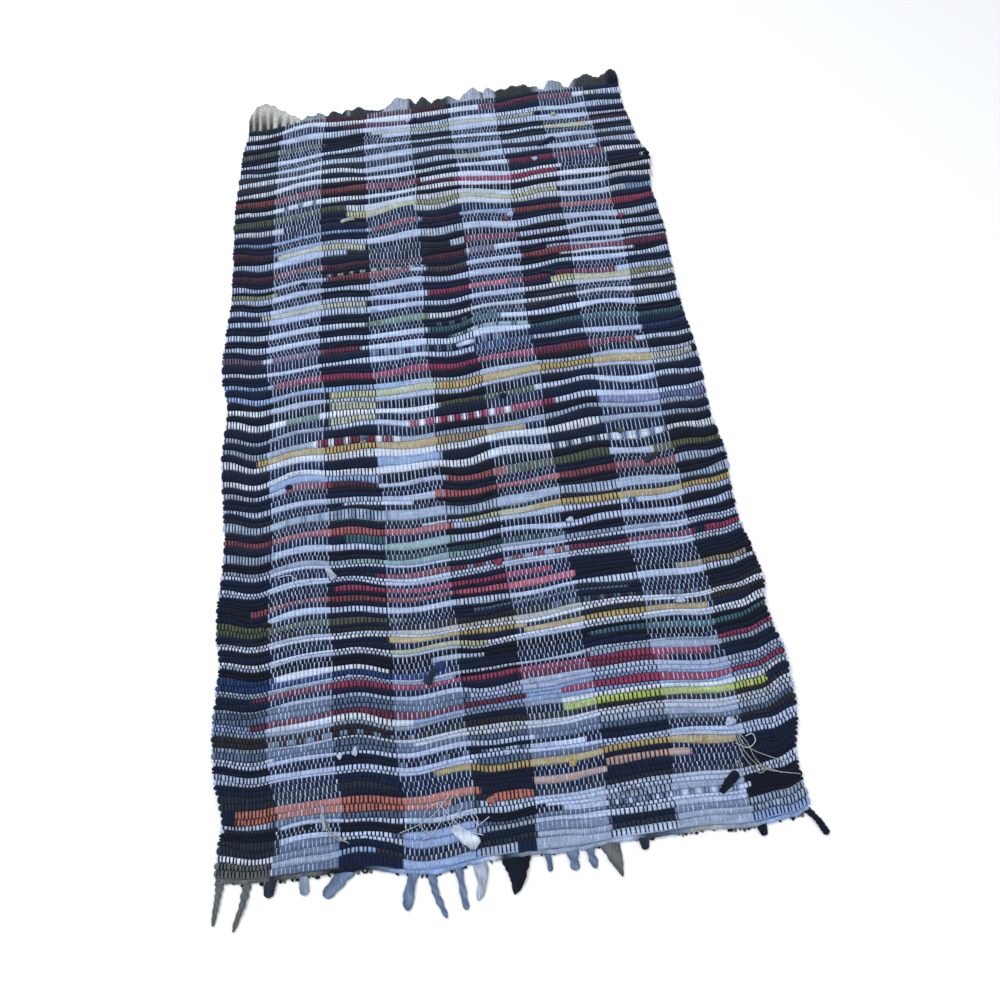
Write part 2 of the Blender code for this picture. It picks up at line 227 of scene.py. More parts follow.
def far_y(x):
    return NEAR_Y + along(FAR_END, x - SHIFT_X)


def rise(x, y):
    """Height of the cloth's underside above the floor."""
    height = np.zeros(np.broadcast(x, y).shape)
    for middle_x, middle_y, half_x, half_y, peak in RISES:
        across = (x - SHIFT_X - middle_x) / half_x
        lengthwise = (y - NEAR_Y - middle_y) / half_y
        height += peak * np.clip(1 - across ** 2 - lengthwise ** 2, 0, None) ** 2
    return height


def wander(rng, rows, places, knots):
    """Smooth random lines between -1 and 1: one row each, a value for every place."""
    values = rng.uniform(-1, 1, (rows, knots))
    where = np.linspace(0, knots - 1, places)
    step = np.minimum(where.astype(int), knots - 2)
    eased = (1 - np.cos(np.pi * (where - step))) / 2
    return values[:, step] * (1 - eased) + values[:, step + 1] * eased


def softened(values, reach):
    """Each column averaged over the rows within a reach."""
    window = np.hanning(2 * reach + 3)[1:-1]
    padded = np.pad(values, ((reach, reach), (0, 0)), "edge")
    columns = [np.convolve(column, window / window.sum(), "valid") for column in padded.T]
    return np.array(columns).T


# ---- strips and threads
rng = np.random.default_rng(11)
row_is_dark = [shade == "D" for shade in FIRST_ROWS]
row_is_dark += [row % 2 == 1 for row in range(len(FIRST_ROWS), ROWS)]
others = [row for row in range(DOUBLED_NEAR + 1, ROWS) if row_is_dark[row]]
doubled_rows = set(range(1, DOUBLED_NEAR + 1))
doubled_rows |= set(rng.choice(others, DOUBLED_FAR, replace=False).tolist())
pick_row = np.array([row for row in range(ROWS) for _ in range(1 + (row in doubled_rows))])
PICKS = len(pick_row)
pick_is_dark = np.array(row_is_dark)[pick_row]

ENDS = BAND_ENDS * (len(BANDS) - 1)
end_share = np.concatenate([
    low + (high - low) * (np.arange(BAND_ENDS) + 0.5) / BAND_ENDS
    for low, high in zip(BANDS, BANDS[1:])
])
end_is_dark = np.repeat(np.arange(len(BANDS) - 1) % 2 == 0, BAND_ENDS)


def weighted(choices):
    """A name drawn from (name, weight) rows."""
    names = [name for name, _ in choices]
    weights = np.array([weight for _, weight in choices])
    return names[rng.choice(len(names), p=weights / weights.sum())]


rag_name = np.empty((PICKS, ENDS), dtype=object)
rag_size = np.ones((PICKS, ENDS))
rag_tone = np.ones((PICKS, ENDS))


def wind_shuttle(picks, choices_at, sizes):
    """Lays one shuttle's strips, joined end to end, back and forth along its picks."""
    left_on_strip = 0
    for turn, pick in enumerate(picks):
        order = range(ENDS) if turn % 2 == 0 else range(ENDS - 1, -1, -1)
        for end in order:
            if left_on_strip <= 0:
                left_on_strip = rng.integers(*STRIP_ENDS)
                name = weighted(choices_at(pick))
                size = rng.uniform(*sizes)
                tone = rng.uniform(*STRIP_TONES)
            rag_name[pick, end] = name
            rag_size[pick, end] = size
            rag_tone[pick, end] = tone
            left_on_strip -= 1


def lights_at(pick):
    return LIGHTS_FAR if pick_row[pick] > FAR_LIGHTS_FROM else LIGHTS_NEAR


def ends_between(start, stop):
    """Which warp threads lie between two shares of the width."""
    return (end_share >= start) & (end_share <= stop)


def pick_at(row):
    """The first strip of a row, or its last one where the number has a half."""
    picks = np.flatnonzero(pick_row == int(row))
    return picks[-1] if row % 1 else picks[0]


wind_shuttle(np.flatnonzero(pick_is_dark), lambda pick: DARKS, DARK_SIZES)
wind_shuttle(np.flatnonzero(~pick_is_dark), lights_at, LIGHT_SIZES)

# Short lengths of the other shade, where a weaver changed shuttles part of the way across
for _ in range(CHANGES):
    pick = rng.integers(CHANGE_MARGIN, PICKS - CHANGE_MARGIN)
    start = rng.uniform(*CHANGE_START)
    held = ends_between(start, start + rng.uniform(*CHANGE_WIDTH))
    choices = lights_at(pick) if pick_is_dark[pick] else DARKS
    rag_name[pick, held] = weighted(choices)
    rag_size[pick, held] = rng.uniform(*CHANGE_SIZES)

for row, start, stop, name in ACCENTS:
    pick = pick_at(row)
    held = ends_between(start / 100, stop / 100)
    rag_name[pick, held] = name
    rag_tone[pick, held] = rng.uniform(*COLOURED_TONES)
    paired = np.count_nonzero(pick_row == int(row)) == 2
    rag_size[pick, held] = rng.uniform(*(COLOURED_PAIRED if paired else COLOURED_SIZES))

for row, start, stop, name, every in SPOTTED:
    held = ends_between(start / 100, stop / 100) & (np.arange(ENDS) % every < TWIST_ENDS)
    rag_name[pick_at(row), held] = name

palette_names = list(PALETTE)
palette_linear = np.array([srgb(name) for name in palette_names])
rag_number = np.vectorize(palette_names.index)(rag_name)
rag_colour = palette_linear[rag_number] * rag_tone[:, :, None]

# Rows take up the length in the share of their strips' sizes. Most of what adds up over
# several rows is taken out again, so that the rows stay level, except for the drifts below.
SIZE_REACH = 8  # warp threads over which a strip's size changes
WIDTH_WANDER = 0.36
WIDTH_KNOTS = 13
CALM_REACH = 9  # strips
CALM_SHARE = 0.8
DRIFT_LENGTH = 1.45  # the weave's usual length
share_of_row = np.where(np.isin(pick_row, sorted(doubled_rows)), DOUBLED_SHARE, 1.0)
pick_width = softened(rag_size.T, SIZE_REACH).T * share_of_row[:, None]
pick_width *= 1 + WIDTH_WANDER * wander(rng, PICKS, ENDS, WIDTH_KNOTS)
pick_width /= pick_width.sum(axis=0)
row_edge = np.vstack([np.zeros(ENDS), np.cumsum(pick_width, axis=0)])
level_edge = np.concatenate([[0], np.cumsum(share_of_row)]) / share_of_row.sum()
uneven = row_edge - level_edge[:, None]
row_edge = level_edge[:, None] + uneven - CALM_SHARE * softened(uneven, CALM_REACH)
# Drifts of the rows: share of the width, share of the length, half sizes, shift in metres
DRIFTS = (
    (0.49, 0.845, 0.075, 0.1, 0.013), (0.2, 0.6, 0.11, 0.12, -0.004), (0.8, 0.52, 0.12, 0.1, 0.005),
    (0.36, 0.33, 0.1, 0.09, -0.005), (0.66, 0.22, 0.1, 0.08, 0.005),
    (0.12, 0.18, 0.09, 0.06, -0.004), (0.93, 0.3, 0.08, 0.09, 0.004),
    (0.58, 0.7, 0.08, 0.06, -0.005),
)
for middle_share, middle_length, half_share, half_length, shift in DRIFTS:
    away = ((end_share - middle_share) / half_share) ** 2
    away = away + ((row_edge - middle_length) / half_length) ** 2
    row_edge = row_edge + shift / DRIFT_LENGTH * np.exp(-away)
row_edge[0] = 0
row_edge[-1] = 1
row_edge = np.maximum.accumulate(row_edge, axis=0)

edge_share = row_edge.mean(axis=1)
pick_share = (edge_share[1:] + edge_share[:-1]) / 2
left_x = along(LEFT_SIDE, pick_share) + SHIFT_X + EDGE_MARGIN
right_x = along(RIGHT_SIDE, pick_share) + SHIFT_X - EDGE_MARGIN
end_sway = wander(rng, ENDS, PICKS, 22).T * END_SWAY
end_x = left_x[:, None] + (right_x - left_x)[:, None] * end_share + end_sway
edge_x = np.vstack([end_x[:1], (end_x[1:] + end_x[:-1]) / 2, end_x[-1:]])
row_edge_y = near_y(edge_x) * (1 - row_edge) + far_y(edge_x) * row_edge
row_y = (row_edge_y[1:] + row_edge_y[:-1]) / 2
row_half = np.maximum((row_edge_y[1:] - row_edge_y[:-1]) / 2, LEAST_HALF)
row_z = rise(end_x, row_y) + THICK / 2
warp_over = (np.arange(PICKS)[:, None] + np.arange(ENDS)) % 2 == 0


# ---- mesh helpers
CHART_MARGIN = 0.01  # left free at either end of a strip's chart, for its caps
CAP_PLACE = 0.005
CAP_HALF = 0.004
CAP_SHARE = 0.4  # of the strip's height on the chart
RAG_LANE = (0.04, 0.92)  # start and height of a strip's lane on the chart
WARP_LANE = (0.05, 0.9)


def add_object(name, data):
    added = bpy.data.objects.new(name, data)
    bpy.context.scene.collection.objects.link(added)
    return added


def new_piece(name, points, faces, material, colours=None, places=None):
    """A smooth mesh of rags or threads, with a colour for each point and a chart of places."""
    mesh = bpy.data.meshes.new(name)
    mesh.from_pydata(points.tolist(), [], faces)
    if colours is not None:
        layer = mesh.color_attributes.new("rag_colour", "FLOAT_COLOR", "POINT")
        rgba = np.column_stack([colours, np.ones(len(colours))]).astype(np.float32)
        layer.data.foreach_set("color", rgba.ravel())
    if places is not None:
        chart = mesh.uv_layers.new(name="OFBake")
        chart.data.foreach_set("uv", np.asarray(places, np.float32).ravel())
    mesh.materials.append(material)
    mesh.shade_smooth()
    return add_object(name, mesh)


def around(sides):
    """Angles of the points of one ring."""
    return np.arange(sides) * 2 * np.pi / sides


def strip_faces(rings, sides, closed=True, first=0, low=0.0, high=1.0):
    """Quads between rings of points, charted as a flat strip between two heights. A closed
    strip has capped ends, charted as a dot at either end of it."""
    quads_round = sides if closed else sides - 1
    ring = np.arange(rings - 1)[:, None]
    side = np.arange(quads_round)
    after = (side + 1) % sides
    corners = [ring * sides + side, ring * sides + after,
               (ring + 1) * sides + after, (ring + 1) * sides + side]
    faces = (np.stack(corners, -1).reshape(-1, 4) + first).tolist()
    across = np.linspace(CHART_MARGIN, 1 - CHART_MARGIN, rings)
    up = np.linspace(low, high, quads_round + 1)
    steps = ((0, 0), (0, 1), (1, 1), (1, 0))
    places = [np.stack(np.broadcast_arrays(across[ring + i], up[side + j]), -1)
              for i, j in steps]
    places = np.stack(places, 2).reshape(-1, 2)
    if closed:
        turn = around(sides)
        half_high = (high - low) * CAP_SHARE
        dot = np.column_stack([CAP_HALF * np.cos(turn), half_high * np.sin(turn)])
        last = first + (rings - 1) * sides
        faces.append(list(range(first, first + sides))[::-1])
        faces.append(list(range(last, last + sides)))
        middle = (low + high) / 2
        places = np.vstack([places, (dot + [CAP_PLACE, middle])[::-1],
                            dot + [1 - CAP_PLACE, middle]])
    return faces, places


class Gathered:
    """Points, faces and colours of many small shapes that become one piece."""

    def __init__(self):
        self.points = []
        self.faces = []
        self.colours = []
        self.count = 0

    def add(self, points, faces, colours):
        points = points.reshape(-1, 3)
        self.points.append(points)
        self.faces += [[corner + self.count for corner in face] for face in faces]
        self.colours.append(colours)
        self.count += len(points)

    def piece(self, name, material):
        return new_piece(name, np.vstack(self.points), self.faces, material,
                         np.vstack(self.colours))


# ---- rag strips
SECTION = np.array([(1.0, 0.0), (0.60, 1.0), (-0.60, 1.0),
                    (-1.0, 0.0), (-0.60, -1.0), (0.60, -1.0)])
SELVEDGE_RINGS = ((0.0012, 0.98), (0.0030, 0.80), (0.0041, 0.42))  # distance out, size
SELVEDGE_REACH = (0.7, 1.4)  # how far out a strip turns, against those distances
ROUND_HALF = 0.0058  # strips narrower than this are flatter too
FLATTEST = 0.80
RAG_OVERLAP = 1.05  # neighbouring strips press into each other
CRUMPLE = 0.07
CRUMPLE_KNOTS = 50
CRUMPLE_SIDEWAYS = 0.7
CRUMPLE_UP = 1.03  # the most that a crumple lifts


def rag_rings(pick):
    """One strip's rings from the left turn to the right one."""
    half = row_half[pick]
    squash = np.clip(half / ROUND_HALF, FLATTEST, 1.0)
    over = warp_over[pick]
    high = np.where(over, RAG_PINCHED, RAG_FULL) * squash
    low = np.where(over, RAG_FULL, RAG_PINCHED) * squash
    middle = np.column_stack([end_x[pick], row_y[pick], row_z[pick]])
    sizes = np.column_stack([half * RAG_OVERLAP, high, low])
    colours = rag_colour[pick]
    out, shrink = np.array(SELVEDGE_RINGS).T
    out = out * rng.uniform(*SELVEDGE_REACH)
    first = middle[0] - np.outer(out[::-1], [1, 0, 0])
    last = middle[-1] + np.outer(out, [1, 0, 0])
    middle = np.vstack([first, middle, last])
    sizes = np.vstack([sizes[0] * shrink[::-1, None], sizes, sizes[-1] * shrink[:, None]])
    turn = len(SELVEDGE_RINGS)
    colours = np.vstack([colours[:1].repeat(turn, 0), colours, colours[-1:].repeat(turn, 0)])
    crumple = 1 + CRUMPLE * wander(rng, RAG_SIDES, len(middle), CRUMPLE_KNOTS).T
    sideways = 1 + (crumple - 1) * CRUMPLE_SIDEWAYS
    y = middle[:, 1:2] + sizes[:, 0:1] * SECTION[:, 0] * sideways
    reach = np.where(SECTION[:, 1] > 0, sizes[:, 1:2], sizes[:, 2:3])
    z = middle[:, 2:3] + reach * SECTION[:, 1] * np.minimum(crumple, CRUMPLE_UP)
    points = np.stack([np.broadcast_to(middle[:, 0:1], y.shape), y, z], -1)
    return points.reshape(-1, 3), np.repeat(colours, RAG_SIDES, 0)


def build_rags(zone, first, last, material):
    """A stretch of the weave's strips as one piece, each charted in its own lane."""
    points, colours, faces, places = [], [], [], []
    margin, high = RAG_LANE
    for pick in range(first, last):
        low = (pick - first + margin) / (last - first)
        ring_points, ring_colours = rag_rings(pick)
        ring_faces, ring_places = strip_faces(
            len(ring_points) // RAG_SIDES, RAG_SIDES, True,
            (pick - first) * len(ring_points), low, low + high / (last - first))
        points.append(ring_points)
        colours.append(ring_colours)
        faces += ring_faces
        places.append(ring_places)
    return new_piece(f"rags_{zone}", np.vstack(points), faces, material,
                     np.vstack(colours), np.vstack(places))


# ---- warp threads
def warp_path(end):
    """A thread's middle line, high over one rag and low under the next."""
    lift = np.where(warp_over[:, end], WARP_HIGH, -WARP_HIGH)
    reach = row_half[:, end] * CREST
    y = np.stack([row_y[:, end] - reach, row_y[:, end] + reach], -1).ravel()
    z = np.repeat(row_z[:, end] + lift, 2)
    x = np.repeat(end_x[:, end], 2) + rng.uniform(-WARP_JITTER, WARP_JITTER, 2 * PICKS)
    return np.column_stack([x, y, z])


def build_warps(name, dark, material):
    """Threads as crowned ribbons, whose hollow side faces down."""
    threads = np.flatnonzero(end_is_dark == dark)
    points, faces, places = [], [], []
    margin, high = WARP_LANE
    for number, end in enumerate(threads):
        path = warp_path(end)
        half = WARP_WIDE[dark] / 2 * rng.uniform(*WARP_WIDTHS, len(path))
        zero = np.zeros(len(path))
        crown = np.full(len(path), WARP_THICK)
        ring = [np.column_stack([-half, zero, zero]), np.column_stack([zero, zero, crown]),
                np.column_stack([half, zero, zero])]
        points.append((path[:, None, :] + np.stack(ring, 1)).reshape(-1, 3))
        low = (number + margin) / len(threads)
        thread_faces, thread_places = strip_faces(
            len(path), 3, False, number * 3 * len(path), low, low + high / len(threads))
        faces += thread_faces
        places.append(thread_places)
    return new_piece(name, np.vstack(points), faces, material, places=np.vstack(places))


# ---- materials
FABRIC = {"Sheen_Weight": 0.08, "Specular_IOR_Level": 0.2}  # cloth and yarn alike
NOISE_LOW = 0.30  # noise between these values is spread over a shade's range
NOISE_HIGH = 0.70


def set_inputs(node, **values):
    """Sets inputs by name, with an underscore for each space."""
    for name, value in values.items():
        node.inputs[name.replace("_", " ")].default_value = value


def new_material(name, **values):
    material = bpy.data.materials.new(name)
    material.use_nodes = True
    tree = material.node_tree
    shader = tree.nodes["Principled BSDF"]
    set_inputs(shader, **values)
    return material, tree, shader


def stretched_noise(tree, scale, detail):
    """Noise in the object's own space, with a scale for each axis in turns a metre."""
    where = tree.nodes.new("ShaderNodeTexCoord")
    mapping = tree.nodes.new("ShaderNodeMapping")
    set_inputs(mapping, Scale=scale)
    noise = tree.nodes.new("ShaderNodeTexNoise")
    set_inputs(noise, Scale=1.0, Detail=detail)
    tree.links.new(where.outputs["Object"], mapping.inputs["Vector"])
    tree.links.new(mapping.outputs["Vector"], noise.inputs["Vector"])
    return noise.outputs["Fac"]


def shaded(tree, colour, noise, low, high):
    """A colour made darker or lighter by noise that is spread between two values."""
    spread = tree.nodes.new("ShaderNodeMapRange")
    set_inputs(spread, From_Min=NOISE_LOW, From_Max=NOISE_HIGH, To_Min=low, To_Max=high)
    tree.links.new(noise, spread.inputs["Value"])
    scale = tree.nodes.new("ShaderNodeVectorMath")
    scale.operation = "SCALE"
    tree.links.new(colour, scale.inputs[0])
    tree.links.new(spread.outputs["Result"], scale.inputs["Scale"])
    return scale.outputs["Vector"]


def add_bump(tree, shader, heights):
    """Bumps from (height, distance, strength) rows, one on top of the other."""
    normal = None
    for height, distance, strength in heights:
        bump = tree.nodes.new("ShaderNodeBump")
        set_inputs(bump, Distance=distance, Strength=strength)
        tree.links.new(height, bump.inputs["Height"])
        if normal is not None:
            tree.links.new(normal, bump.inputs["Normal"])
        normal = bump.outputs["Normal"]
    tree.links.new(normal, shader.inputs["Normal"])


def jersey_material(name, creases_scale):
    """Knitted rag cloth: creased along the strip, faded in places and finely ribbed."""
    material, tree, shader = new_material(name, Roughness=0.93, **FABRIC)
    colour = tree.nodes.new("ShaderNodeAttribute")
    colour.attribute_name = "rag_colour"
    creases = stretched_noise(tree, creases_scale, 2.0)
    fading = stretched_noise(tree, (30, 60, 60), 2.0)
    grain = stretched_noise(tree, (900, 1400, 1400), 1.0)
    # Painted light and shade: the creases and fine ribs are lighter on their tops and darker in
    # their hollows, from the same noise as the bumps; the fading is the cloth's own.
    shade = shaded(tree, colour.outputs["Color"], creases, 0.66, 1.12)
    shade = shaded(tree, shade, fading, 0.88, 1.08)
    shade = shaded(tree, shade, grain, 0.90, 1.06)
    tree.links.new(shade, shader.inputs["Base Color"])
    add_bump(tree, shader, ((creases, 0.0016, 0.7), (grain, 0.0003, 0.3)))
    return material


def yarn_material(name, colour_name):
    """Twisted cotton warp, soiled and worn in places."""
    material, tree, shader = new_material(name, Roughness=0.88, **FABRIC)
    base = tree.nodes.new("ShaderNodeRGB")
    base.outputs[0].default_value = (*srgb(colour_name), 1.0)
    ageing = stretched_noise(tree, (330, 120, 60), 2.0)
    shade = shaded(tree, base.outputs[0], ageing, 0.32, 1.05)
    tree.links.new(shade, shader.inputs["Base Color"])
    twist = stretched_noise(tree, (1500, 900, 900), 0.0)
    add_bump(tree, shader, ((twist, 0.0004, 0.5),))
    return material


# ---- heading, flap and edge
HEADING_THICK = 0.0030
FLAT_HEM = 0.0025  # flat strip beside the weave
HEADING_BAND = 0.008  # reach where there is no lobe
HEADING_FOLD = 0.027  # from one gathered fold to the next
HEADING_FOLD_RISE = 0.0050
HEADING_LOBE_RISE = 0.0060
HEADING_START = -0.284
HEADING_END = 0.3915
HEADING_STEP = 0.0013
HEADING_ROWS = 9
HEADING_CURL = 0.0012
HEADING_SWAY = 0.0016
LOBE_POWER = 0.8  # how fully a lobe rounds
PLEAT = 0.0068  # from one fine pleat to the next
PLEAT_DEEP = 0.0013
PAINTED_PLEAT_SHADE = 0.62  # painted shade: how much darker the valleys are
PLEAT_DRIFT = 2.4  # how far pleats stray from even spacing, in radians
PLEAT_KNOTS = 60
RAGGED = 0.07  # how uneven the outer edge is
FINER_PLEAT = 0.43  # against PLEAT
FINER_DEEP = 0.35  # against PLEAT_DEEP
CLOTH_OVER = 0.0012  # added to the thickness of heading and flap, for their softer folds
CLOTH_GAP = 0.0004  # from the far end to them
LOWEST = 0.0002  # the underside's least height above the floor
# The underside of heading and flap is darker than the top, painted shade.
UNDERSIDE_PAINTED_SHADE = 0.7
# Lobes of the gathered heading: x, half width, reach beyond the weave
LOBES = (
    (-0.25, 0.024, 0.008), (-0.212, 0.015, 0.011), (-0.17, 0.03, 0.014), (-0.074, 0.032, 0.03),
    (-0.028, 0.02, 0.023), (0.018, 0.028, 0.016), (0.078, 0.026, 0.028), (0.114, 0.018, 0.025),
    (0.168, 0.052, 0.022), (0.251, 0.02, 0.025), (0.322, 0.036, 0.032), (0.384, 0.04, 0.04),
)
LONGEST_LOBE = max(reach for _, _, reach in LOBES)
# Shades along the heading: x in millimetres, colour
HEADING_TONES = (
    (-284, "veil"), (-236, "veil"), (-228, "lichen"), (-190, "lichen"), (-184, "veil"),
    (-178, "lichen"), (-116, "lichen"), (-108, "pale_knit"), (-62, "pale_knit"), (-56, "lichen"),
    (20, "lichen"), (32, "veil"), (56, "pale_knit"), (92, "pale_knit"), (96, "lichen"),
    (100, "pale_knit"), (120, "pale_knit"), (128, "lichen"), (202, "lichen"), (214, "veil"),
    (234, "pale_knit"), (258, "veil"), (290, "veil"), (300, "lichen"), (360, "lichen"),
    (372, "ink"), (392, "ink"),
)
FLAP_COLUMNS = 84
FLAP_ROWS = 20
FLAP_THICK = 0.0026
FLAP_RISE = 0.0110
FLAP_REACH = 0.030  # the flap is at its full height this far out
# Top outline of the flap: x, distance beyond the far end
FLAP_TOP = (
    (-0.389, 0.028), (-0.3835, 0.048), (-0.37, 0.069), (-0.357, 0.074), (-0.34, 0.063),
    (-0.32, 0.042), (-0.3, 0.022), (-0.2844, 0.01),
)
# Creases of the flap: x at the root, lean, half width, share of the height, depth
FLAP_CREASES = (
    (-0.388, 0.002, 0.008, 1.8, 1), (-0.373, 0.003, 0.0046, 1.1, 1), (-0.3575, 0, 0.0058, 0.8, 1),
    (-0.344, 0.004, 0.0038, 0.85, 1), (-0.327, 0.006, 0.0044, 0.75, 1),
    (-0.31, 0.006, 0.0038, 0.7, 0.9), (-0.296, 0.004, 0.0026, 0.5, 0.6),
)
FLAP_BILLOW = 0.20
FLAP_CREASE = 0.0010
FLAP_DARKENING = 0.93  # how much darker the creases are, painted shade, and the rim
FLAP_RIM = 0.07  # share of the height that the dark rim takes
EDGE_ROUND = 0.0026  # radius of the turned edge
EDGE_ROUGH = 0.28
EDGE_OUT = 0.0026  # its middle line: distance out from the near end, and height
EDGE_HIGH = 0.0030
EDGE_SIDES = 8
EDGE_STEPS = 330
NUBS = 95  # frayed nubs along the turned edge
NUB_SPAN = (-0.388, 0.396)
NUB_SIZES = (0.0022, 0.0046)
NUB_OUT = (0.0045, 0.0075)
NUB_HIGH = 0.0028
JOINS = 70  # small lumps where strips meet
JOIN_SIZES = (0.005, 0.0095)
# Shades along the turned near edge: x in millimetres, colour
EDGE_TONES = (
    (-391, "ash"), (-325, "ash"), (-318, "ink"), (-300, "ash"), (-262, "ash"), (-240, "ink"),
    (-200, "ink"), (-150, "sky"), (-50, "sky"), (-30, "snow"), (-16, "ink"), (25, "mist"),
    (120, "mist"), (150, "white"), (175, "charcoal"), (215, "slate"), (250, "sand"), (310, "mist"),
    (345, "sky"), (400, "sky"),
)
# Loose rag ends, in millimetres: x of the root, sideways lean, length, root width, tip
# width, bow; then turns along the length, colour
TAILS = (
    (-386, -6, 55, 11, 5, 2, 1.4, "ash"), (-349, -18, 59, 12, 5, 3, 1.2, "ash"),
    (-317, -6, 24, 15, 10, 0, 0.1, "charcoal"), (-277, 1, 26, 13, 11, 0, 0, "mist"),
    (-213, -37, 31, 17, 13, 0, 0, "steel"), (-133, -13, 46, 13, 12, -1, 0.3, "steel"),
    (-112, 16, 58, 11, 6, -3, 0.9, "steel"), (-78, 8, 54, 9, 8, 1, 0.5, "steel"),
    (-51, -3, 49, 21, 6, 6, 0.4, "pale_knit"), (-2, -4, 48, 40, 6, 4, 0, "ink"),
    (41, 2, 26, 9, 6, 0, 0.3, "slate"), (71, 3, 28, 15, 10, 3, 0.4, "steel"),
    (97, 4, 29, 12, 8, 0, 0.4, "steel"), (122, 12, 45, 26, 5, 2, 0.2, "ash"),
    (170, 1, 18, 17, 11, 0, 0, "charcoal"), (329, 2, 18, 13, 9, 0, 0, "ink"),
    (391, 23, 36, 8, 9, 3, 1.5, "ink"),
)
TAIL_STEPS = 22
TAIL_SIDES = 12
TAIL_THICK = 0.0034
TAIL_HELD = 0.001  # how far its root reaches under the edge
TAIL_WIGGLE = 0.0012
TAIL_LIFT = 0.0006
TAIL_ARCH = 0.0016
TAB_STEPS = 14
THREAD_STEPS = 26
THREAD_SIDES = 5
STRIP_PAINTED_SHADE = 0.40  # painted shade: how much darker one side of a loose strip's folds is
KNOT_RINGS = 8
KNOT_SIDES = 12
KNOT_DENTS = 0.16
KNOT_SMALL_DENTS = 0.08

# The next three tables are in millimetres.
# Knots where strips are tied: x, distance from the near line, length, width, height, turn
# in degrees, colour
KNOTS = (
    (-81, 242, 17, 14, 9, 20, "royal"), (91, 87, 11, 9, 7, 0, "gold"),
    (-25, 51, 12, 11, 6, 0, "orange"), (119, 1115, 14, 11, 8, 30, "white"),
    (109, 1104, 11, 9, 7, -20, "red"), (-206, 134, 13, 8, 6, 80, "white"),
    (318, 120, 16, 12, 8, 10, "white"), (409, 1250, 13, 11, 9, 0, "ink"),
    (239, 1388, 12, 9, 7, 0, "pale_yellow"), (-227, 130, 9, 7, 6, 70, "snow"),
    (-40, 1398, 13, 11, 7, 80, "navy"), (-62, 1401, 13, 9, 6, 50, "white"),
    (304, 1285, 14, 8, 6, 0, "white"), (185, 1262, 12, 9, 6, 0, "white"),
    (330, 1090, 12, 10, 7, 30, "crimson"), (-150, 905, 12, 9, 6, 0, "mist"),
    (60, 700, 13, 10, 7, 25, "navy"), (245, 610, 13, 9, 6, -10, "olive"),
    (-300, 560, 12, 9, 6, 15, "navy"), (140, 455, 12, 10, 7, 0, "white"),
    (20, 395, 12, 9, 6, 40, "crimson"), (-330, 330, 13, 9, 6, 0, "ink"),
    (285, 305, 14, 10, 7, -15, "white"), (-178, 640, 13, 10, 6, 10, "slate"),
)
# Rag ends that lie on the weave: start x, start distance from the near line, end x, end
# distance, width at each end, height, colour
TABS = (
    (-88, 238, -102, 218, 9, 12, 5, "charcoal"), (-242, 414, -230, 394, 6, 13, 5, "pale_knit"),
    (312, 52, 284, 28, 13, 9, 4, "ink"), (-80, 22, -48, -4, 14, 18, 3.5, "snow"),
    (-252, 68, -249, 36, 3.5, 4, 3, "pale_knit"), (196, 1300, 232, 1318, 9, 11, 6, "navy"),
    (-60, 1392, -44, 1404, 8, 14, 5, "navy"), (300, 560, 276, 548, 8, 11, 5, "charcoal"),
    (-10, 812, 22, 820, 8, 10, 5, "white"), (160, 968, 186, 960, 7, 10, 5, "navy"),
    (-206, 1130, -180, 1137, 7, 10, 5, "sand"),
)
# Stray threads: radius in microns, colour, points as x and distance from the near line
THREADS = (
    (550, "cream", ((325, 104), (330, 86), (352, 71), (382, 58))),
    (550, "cream", ((324, 104), (334, 90), (344, 60), (372, 44))),
    (550, "cream", ((322, 100), (330, 74), (350, 52), (396, 40))),
    (550, "cream", ((320, 96), (326, 70), (340, 48), (354, 52))),
    (600, "snow", ((318, 90), (334, 82), (346, 90), (344, 100), (334, 98))),
    (500, "cream", ((312, 60), (316, 66), (318, 50))),
    (500, "snow", ((-82, 62), (-104, 40), (-124, 30), (-150, 22))),
    (500, "snow", ((-78, 60), (-90, 36), (-108, 16), (-122, 10))),
    (500, "snow", ((-92, 56), (-112, 48), (-120, 26), (-104, 14))),
    (500, "snow", ((-96, 54), (-80, 34), (-62, 16), (-40, 8))),
    (500, "snow", ((-72, 64), (-66, 46), (-80, 30), (-70, 12))),
    (550, "snow", ((-70, 32), (-58, 40), (-46, 30), (-50, 14))),
    (500, "snow", ((-54, 36), (-46, 22), (-30, 30))),
    (600, "cream", ((-252, 58), (-246, 40), (-236, 26), (-218, 18))),
    (550, "cream", ((-250, 56), (-240, 34), (-228, 24), (-216, 16))),
    (600, "snow", ((-316, 404), (-296, 406), (-280, 392), (-262, 398))),
    (400, "charcoal", ((128, 50), (150, 54), (158, 36), (140, 26), (130, 40))),
    (400, "charcoal", ((140, 34), (166, 46), (178, 30), (172, 10))),
    (400, "charcoal", ((160, 52), (184, 38), (180, 14), (196, 6))),
    (500, "snow", ((104, 30), (122, 40), (134, 36))),
    (500, "snow", ((116, 46), (126, 36), (120, 26))),
    (600, "snow", ((308, 1352), (316, 1340), (306, 1330))),
)


def shade_at(tones, x):
    """Colours along a table of (x in millimetres, colour) rows, mixed between rows."""
    marks = [row[0] / 1000 for row in tones]
    colours = np.array([srgb(row[1]) for row in tones])
    return np.column_stack([np.interp(x, marks, colours[:, axis]) for axis in range(3)])


def cloth_top(x, y):
    return rise(x, y) + THICK


